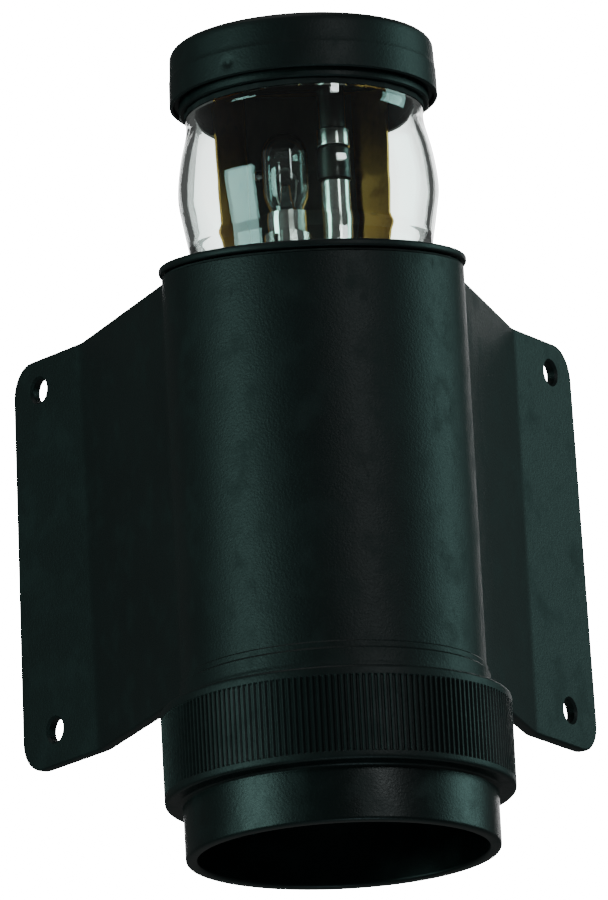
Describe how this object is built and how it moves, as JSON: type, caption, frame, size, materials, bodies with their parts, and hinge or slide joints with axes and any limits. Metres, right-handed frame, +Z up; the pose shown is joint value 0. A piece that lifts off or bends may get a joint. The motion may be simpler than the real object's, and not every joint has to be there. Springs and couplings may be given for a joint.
{
  "type": "navigation light",
  "caption": "Mast-mounted masthead light with a deck floodlight below it, in a black moulded housing with two winged flanges.",
  "frame": {"origin": "on the mast side, midway between the two columns of flange screw holes and at the middle of their height, level with the back faces of the flanges at the holes", "axes": "+Z up the light's axis towards the cap, +Y towards the mast, so the light faces -Y, and +X to the right as seen from in front"},
  "size_m": [0.1216, 0.1137, 0.172],
  "materials": {
    "black_plastic": "fine moulded texture, black with a faint green tint",
    "black_rubber": "matt black rubber",
    "lens_clear": "clear moulded polycarbonate",
    "glass_clear": "clear glass",
    "shield_bronze": "copper-bronze sheet, slightly brushed",
    "terminal_brass": "plain brass",
    "nickel_plate": "bright nickel plate",
    "stainless": "stainless steel",
    "dark_phenolic": "dark brown laminate",
    "white_ceramic": "unglazed white ceramic",
    "lamp_mirror": "aluminised glass with fine facets",
    "filament": "coiled tungsten wire",
    "red_insulation": "red wire insulation",
    "black_insulation": "black wire insulation",
    "pale_nylon": "natural nylon"
  },
  "bodies": {
    "housing": {"housing": "black_plastic", "lamp_carrier": "pale_nylon", "lamp_clip": "stainless", "deck_lamp_reflector": "lamp_mirror", "deck_lamp_cover": "glass_clear", "deck_lamp_plug": "white_ceramic", "deck_lamp_capsule": "glass_clear", "deck_lamp_pin_1": "nickel_plate", "deck_lamp_pin_2": "nickel_plate", "lamp_holder": "white_ceramic", "terminal_block": "pale_nylon", "terminal_screw_1": "terminal_brass", "terminal_screw_2": "terminal_brass", "terminal_screw_3": "terminal_brass", "masthead_lead_live": "red_insulation", "masthead_lead_return": "black_insulation", "deck_lead_return": "black_insulation", "deck_lead_live": "red_insulation", "cable_grommet": "black_rubber", "masthead_base": "black_plastic", "base_gasket": "black_rubber", "base_screw_1": "stainless", "base_screw_2": "stainless", "base_screw_3": "stainless", "light_shield": "shield_bronze", "shield_backing": "dark_phenolic", "backing_rivet_1": "nickel_plate", "backing_rivet_2": "nickel_plate", "shield_screw_1": "stainless", "shield_screw_2": "stainless", "socket_shell": "nickel_plate", "socket_insulator": "dark_phenolic", "contact_spring": "stainless", "return_post": "nickel_plate", "post_insulator": "dark_phenolic", "post_cap": "nickel_plate"},
    "deck_glass_stack": {"deck_glass": "glass_clear", "glass_gasket": "black_rubber"},
    "deck_ring": {"deck_light_ring": "black_plastic"},
    "lens_seal_ring": {"lens_seal": "black_rubber"},
    "lens_and_cap": {"masthead_lens": "lens_clear", "cap_gasket": "black_rubber", "masthead_cap": "black_plastic"},
    "lamp": {"lamp_glass": "glass_clear", "lamp_base": "nickel_plate", "lamp_contact": "nickel_plate", "lamp_stem": "glass_clear", "lamp_filament": "filament"},
    "plunger": {"contact_plunger": "dark_phenolic", "contact_button": "terminal_brass"}
  },
  "joints": [
    {"name": "deck_ring_travel", "type": "slide", "parent": "housing", "child": "deck_glass_stack", "axis": [0, 0, -1], "range_m": [0, 0.0091]},
    {"name": "deck_ring_turn", "type": "hinge", "parent": "deck_glass_stack", "child": "deck_ring", "pos_m": [0, -0.068, -0.0602], "axis": [0, 0, -1], "range_deg": [0, 1080]},
    {"name": "lens_travel", "type": "slide", "parent": "housing", "child": "lens_seal_ring", "axis": [0, 0, 1], "range_m": [0, 0.0051]},
    {"name": "lens_turn", "type": "hinge", "parent": "lens_seal_ring", "child": "lens_and_cap", "pos_m": [0, -0.068, 0.0378], "axis": [0, 0, 1], "range_deg": [0, 900]},
    {"name": "lamp_push", "type": "slide", "parent": "housing", "child": "lamp", "axis": [0, 0, -1], "range_m": [0, 0.0015], "stiffness_N_per_m": 600, "springref_m": -0.002},
    {"name": "plunger_travel", "type": "slide", "parent": "housing", "child": "plunger", "axis": [0, 0, -1], "range_m": [0, 0.0015], "deforming": ["contact_spring"]}
  ],
  "couplings": [
    {"joint": "deck_ring_travel", "follows": "deck_ring_turn", "m_per_rad": 0.00047746},
    {"joint": "lens_travel", "follows": "lens_turn", "m_per_rad": 0.00031831},
    {"joint": "plunger_travel", "follows": "lamp_push", "ratio": 1}
  ]
}
